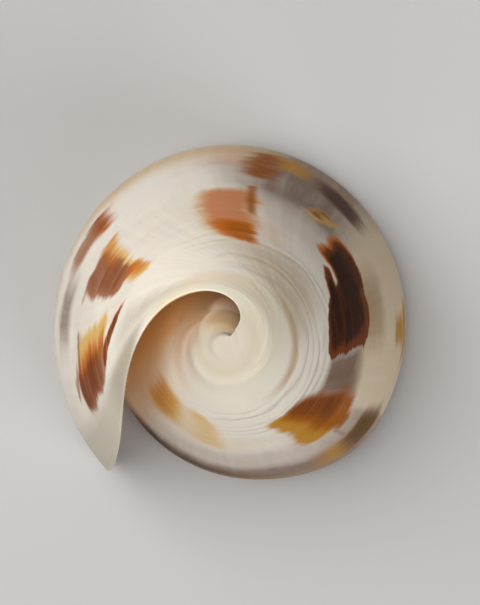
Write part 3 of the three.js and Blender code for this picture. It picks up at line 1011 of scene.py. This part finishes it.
# what the colours are placed by: the growth map, the inside and the noises
def readSurface(tree):
    mapNode = addNode(tree, "ShaderNodeUVMap", uv_map="growthMap")
    parts = addNode(tree, "ShaderNodeSeparateXYZ")
    feed(tree, parts.inputs[0], Wire(tree, mapNode.outputs[0]))
    insideNode = addNode(tree, "ShaderNodeAttribute", attribute_name="inside")
    turn = Wire(tree, parts.outputs[0])
    share = Wire(tree, parts.outputs[1])
    at = {"turn": turn, "share": share, "inside": Wire(tree, insideNode.outputs["Fac"])}
    at["band"] = share - turn * shell["spiralRise"]
    at["ledge"] = share - turn * shell["ledgeRise"] - shell["ledgePlace"]
    for name, (up, grain) in grains.items():
        at[name] = shellNoise(turn, at[up], grain, porcelain["seed"])
    return at


def stir(at, name, start=None):
    amounts = dict(mixes[name])
    total = amounts.pop("plain") if start is None else start
    for grain, amount in amounts.items():
        total = total + at[grain] * amount
    return total


def rising(at, place, name):
    return ramp(at[place], *bounds[name])


def falling(at, place, name):
    return fade(at[place], *bounds[name])


# ground: white with lilac showing through, tinted in places, with painted shade along the rim, greyer
# behind the growth stop
def groundColour(tree, at, patch, wavyShare):
    lilac = limit(stir(at, "lilac")) * strengths["lilac"]
    colour = mixColour(tree, lilac, porcelain["white"], porcelain["lilac"])
    tintPlace = {"Turn": stir(at, "tintTurn", at["turn"]), "Share": stir(at, "tintShare", wavyShare)}
    colour = layPatches(tree, patch, tintPlace, tintsAndRimShade, colour, stir(at, "tintStreaks"))
    pause = fade(stir(at, "pauseTurn", at["turn"]), *bounds["pauseEdge"])
    pause = pause * rising(at, "turn", "pauseTurn") * falling(at, "share", "pauseTop")
    return mixColour(tree, pause * strengths["pause"], colour, porcelain["grey"])


# towards the front: white cords between grey lines, then cream
def frontColour(tree, at, colour):
    front = ramp(stir(at, "frontBand", at["band"]), *bounds["frontFrom"])
    colour = mixColour(tree, front * strengths["front"], colour, porcelain["white"])
    cordPlace, unevenness = cordPattern(
        at["turn"], at["band"], shell["cordStart"], shell["cordEnd"], shell["cordCount"], shell["seed"])
    cordWave = calc(tree, "COSINE", cordPlace)
    line = (cordWave * cordWave) ** porcelain["lineSharpness"]
    line = line * ramp(at["band"], *relief["cordFrom"]) * fade(at["band"], *relief["cordTo"])
    line = line * rising(at, "turn", "lineOldest") * falling(at, "turn", "lineYoungest")
    colour = mixColour(tree, limit(line * (strengths["line"] + unevenness)), colour, porcelain["lilac"])
    top = rising(at, "band", "topFrom") * rising(at, "turn", "topOldest")
    top = top * falling(at, "turn", "topYoungest") * falling(at, "band", "topTo")
    colour = mixColour(tree, top * strengths["top"], colour, porcelain["shade"])
    cream = ramp(stir(at, "creamBand", at["band"]), *bounds["creamFrom"])
    towardsLip = rising(at, "turn", "creamOldest") * strengths["youngCream"]
    colour = mixColour(tree, cream * (strengths["oldCream"] + towardsLip), colour, porcelain["front"])
    # painted shade over the up-facing dome of the front end, on its real cream
    colour = mixColour(tree, rising(at, "share", "shadedDomeFrom"), colour, porcelain["dome"])
    groove = rising(at, "band", "grooveFrom") * falling(at, "band", "grooveTo")
    groove = groove * rising(at, "turn", "grooveOldest") * falling(at, "turn", "grooveYoungest")
    return mixColour(tree, groove * strengths["groove"], colour, porcelain["groove"])


def lipColour(tree, at, colour):
    lip = ramp(stir(at, "lipTurn", at["turn"]), *bounds["lipTurn"]) * falling(at, "share", "lipTop")
    yellow = rising(at, "share", "yellowFrom") * falling(at, "share", "yellowTo")
    yellow = yellow * rising(at, "turn", "yellowOldest") * (1.0 - lip)
    colour = mixColour(tree, yellow * strengths["yellow"], colour, porcelain["cream"])
    colour = mixColour(tree, lip * strengths["lip"], colour, porcelain["lip"])
    bend = lip * rising(at, "share", "lipBend") * strengths["lipBend"]
    return mixColour(tree, bend, colour, porcelain["lipBend"])


# blotches, frayed along the spiral, and flames on the flat spire
def markColour(tree, at, patch, wavyShare, colour):
    frayed = (at["streak"] + at["fineStreak"] * porcelain["fineFray"]) * porcelain["fray"]
    frayed = frayed + at["waver"] * (porcelain["waver"] * porcelain["endWaver"])
    markPlace = {"Turn": at["turn"] + frayed / porcelain["turnLength"], "Share": wavyShare}
    markStreaks = stir(at, "markStreaks")
    colour = layPatches(tree, patch, markPlace, marks, colour, markStreaks)
    colour = layPatches(tree, patch, markPlace, shades, colour, stir(at, "shadeStreaks"))
    linePlace = {"Turn": stir(at, "thinLineTurn", at["turn"]), "Share": wavyShare}
    colour = layPatches(tree, patch, linePlace, thinLines, colour, markStreaks)
    onSpire = falling(at, "share", "spireTo")
    flame = rising(at, "flame", "flame") * onSpire * strengths["flame"]
    colour = mixColour(tree, flame, colour, porcelain["orange"])
    return mixColour(tree, rising(at, "flame", "flameHeart") * onSpire, colour, porcelain["brown"])


# inside of the mouth: the turn before, the inner face of the wall, and the pillar. The orange is partly
# the glaze and partly painted light, for light through the thin lip; the floor is darkened with painted
# shade deep under the lip
def mouthColour(tree, at, colour):
    mouth = falling(at, "turn", "mouthYoungest") * falling(at, "share", "mouthTo")
    mouth = mouth * rising(at, "share", "mouthFrom") * strengths["mouth"]
    colour = mixColour(tree, mouth, colour, porcelain["mouth"])
    # painted shade, on real brown: the floor of the mouth is darker deep under the lip
    deepFloor = falling(at, "turn", "deepFloorYoungest") * strengths["deepFloor"]
    nearFloor = falling(at, "turn", "nearFloorYoungest") * rising(at, "share", "nearFloorFrom")
    floor = falling(at, "ledge", "floorLedge") * rising(at, "share", "floorFrom")
    floor = floor * limit(deepFloor + nearFloor * strengths["nearFloor"])
    colour = mixColour(tree, floor * strengths["floor"], colour, porcelain["floor"])
    # the middle of the tip, white darkened with painted shade
    colour = mixColour(tree, rising(at, "share", "middleFrom"), colour, porcelain["middle"])
    pillar = rising(at, "ledge", "pillarLedge") * rising(at, "share", "pillarFrom")
    pillar = pillar * falling(at, "turn", "pillarYoungest") * falling(at, "share", "pillarTo")
    colour = mixColour(tree, pillar * strengths["pillar"], colour, porcelain["pillar"])
    # the inner face of the wall takes the same orange, partly painted light
    innerFace = rising(at, "inside", "innerFace") * strengths["innerFace"]
    return mixColour(tree, innerFace, colour, porcelain["mouth"])


def shellMaterial():
    material = bpy.data.materials.new("blotchedPorcelain")
    material.use_nodes = True
    tree = material.node_tree
    tree.nodes.clear()
    at = readSurface(tree)
    patch = patchGroup()
    waver = at["wobble"] * porcelain["waver"] + at["growthLine"] * porcelain["growthLineWaver"]
    wavyShare = at["share"] + waver / porcelain["sideLength"]
    colour = groundColour(tree, at, patch, wavyShare)
    colour = frontColour(tree, at, colour)
    colour = lipColour(tree, at, colour)
    colour = markColour(tree, at, patch, wavyShare, colour)
    colour = mouthColour(tree, at, colour)

    bump = addNode(tree, "ShaderNodeBump")
    bump.inputs["Strength"].default_value = porcelain["bumpStrength"]
    bump.inputs["Distance"].default_value = porcelain["bumpHeight"] * mm
    bumpLeft = 1.0 - rising(at, "share", "bumpTo") * porcelain["bumpWear"]
    feed(tree, bump.inputs["Height"], stir(at, "bump") * bumpLeft)
    surface = addNode(tree, "ShaderNodeBsdfPrincipled")
    feed(tree, surface.inputs["Base Color"], colour)
    feed(tree, surface.inputs["Roughness"], stir(at, "roughness", porcelain["roughness"]))
    surface.inputs["IOR"].default_value = porcelain["gloss"]
    surface.inputs["Subsurface Weight"].default_value = porcelain["glow"]
    surface.inputs["Subsurface Radius"].default_value = porcelain["glowColour"]
    surface.inputs["Subsurface Scale"].default_value = porcelain["glowDepth"] * mm
    feed(tree, surface.inputs["Normal"], Wire(tree, bump.outputs[0]))
    output = addNode(tree, "ShaderNodeOutputMaterial")
    tree.links.new(surface.outputs[0], output.inputs["Surface"])
    print("cone shell: colours laid")
    return material


def makeShell():
    material = shellMaterial()
    piece, rimColumn, coreColumn = edgeObject()
    grown, inputs = grownMesh(piece, rimColumn, material)
    closeShell(grown, inputs, coreColumn)
    axisPlace = centreOnFrame(grown)
    piece.data = grown
    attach(piece, "root")
    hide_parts("shell")
    print("cone shell: shell grown, axis at", tuple(round(value / mm, 3) for value in axisPlace), "mm")
    return axisPlace


# Camera, nearly along the axis from the front end. Sizes in millimetres.
view = {
    "towardCamera": (0.0365, 0.0258, 0.999),
    "axisInView": (0.473, -2.018, -400.0),    # the axis at the floor, in the camera's own frame
    "pixelsPerUnit": 4400.0,                  # focal length in pixels
    "pictureHeight": 605.0,
    "sensorHeight": 36.0,
    "nearest": 10.0,
    "farthest": 20000.0,
}


def makeCamera(axisPlace):
    back = Vector(view["towardCamera"]).normalized()
    across = Vector((0, 1, 0)).cross(back).normalized()
    up = back.cross(across)
    turned = Matrix((across, up, back)).transposed()
    place = Vector((axisPlace.x, axisPlace.y, 0)) - turned @ (Vector(view["axisInView"]) * mm)
    lens = bpy.data.cameras.new("camera")
    lens.sensor_fit = "VERTICAL"
    lens.sensor_height = view["sensorHeight"]
    lens.lens = view["pixelsPerUnit"] * view["sensorHeight"] / view["pictureHeight"]
    lens.clip_start = view["nearest"] * mm
    lens.clip_end = view["farthest"] * mm
    camera = bpy.data.objects.new("camera", lens)
    camera.matrix_world = Matrix.Translation(place) @ turned.to_4x4()
    bpy.context.collection.objects.link(camera)
    bpy.context.scene.camera = camera
    print("cone shell: camera at", tuple(round(value, 4) for value in place))


# Floor and light
studio = {
    "floorSize": 3.0,             # metres
    "floorColour": (0.47, 0.46, 0.45),
    "floorRoughness": 0.9,
    "aim": (0.0, 0.0, 0.03),      # what the lamps point at
    "overPlace": (-0.13, 0.06, 0.58),
    "overSize": 0.35,
    "overPower": 3.2,             # watts
    "sidePlace": (-0.41, 0.41, 0.15),
    "sideSize": 0.35,
    "sidePower": 1.0,
    "lowPlace": (0.0, -0.56, 0.20),
    "lowSize": 0.3,
    "lowPower": 0.62,
    "rightPlace": (0.27, -0.23, 0.46),
    "rightSize": 0.3,
    "rightPower": 1.1,
    "skyColour": (0.85, 0.86, 0.88),
    "skyStrength": 0.04,
}


def softLight(name, place, size, power):
    lamp = bpy.data.lights.new(name, "AREA")
    lamp.shape = "DISK"
    lamp.size = size
    lamp.energy = power
    light = bpy.data.objects.new(name, lamp)
    light.location = place
    towards = Vector(studio["aim"]) - Vector(place)
    light.rotation_euler = towards.to_track_quat("-Z", "Y").to_euler()
    bpy.context.collection.objects.link(light)


def makeStudio():
    half = studio["floorSize"] / 2
    floorMesh = bpy.data.meshes.new("floor")
    corners = [(-half, -half, 0), (half, -half, 0), (half, half, 0), (-half, half, 0)]
    floorMesh.from_pydata(corners, [], [(0, 1, 2, 3)])
    floor = bpy.data.objects.new("floor", floorMesh)
    bpy.context.collection.objects.link(floor)
    paint = bpy.data.materials.new("floorPaint")
    paint.use_nodes = True
    surface = paint.node_tree.nodes["Principled BSDF"]
    surface.inputs["Base Color"].default_value = (*studio["floorColour"], 1.0)
    surface.inputs["Roughness"].default_value = studio["floorRoughness"]
    floorMesh.materials.append(paint)
    for name in ("over", "side", "low", "right"):
        softLight(name + "Light", studio[name + "Place"], studio[name + "Size"], studio[name + "Power"])
    world = bpy.data.worlds.new("studio")
    world.use_nodes = True
    sky = world.node_tree.nodes["Background"]
    sky.inputs["Color"].default_value = (*studio["skyColour"], 1.0)
    sky.inputs["Strength"].default_value = studio["skyStrength"]
    bpy.context.scene.world = world
    bpy.context.scene.view_settings.view_transform = "Standard"
    print("cone shell: floor and light placed")


axisPlace = makeShell()
makeCamera(axisPlace)
makeStudio()
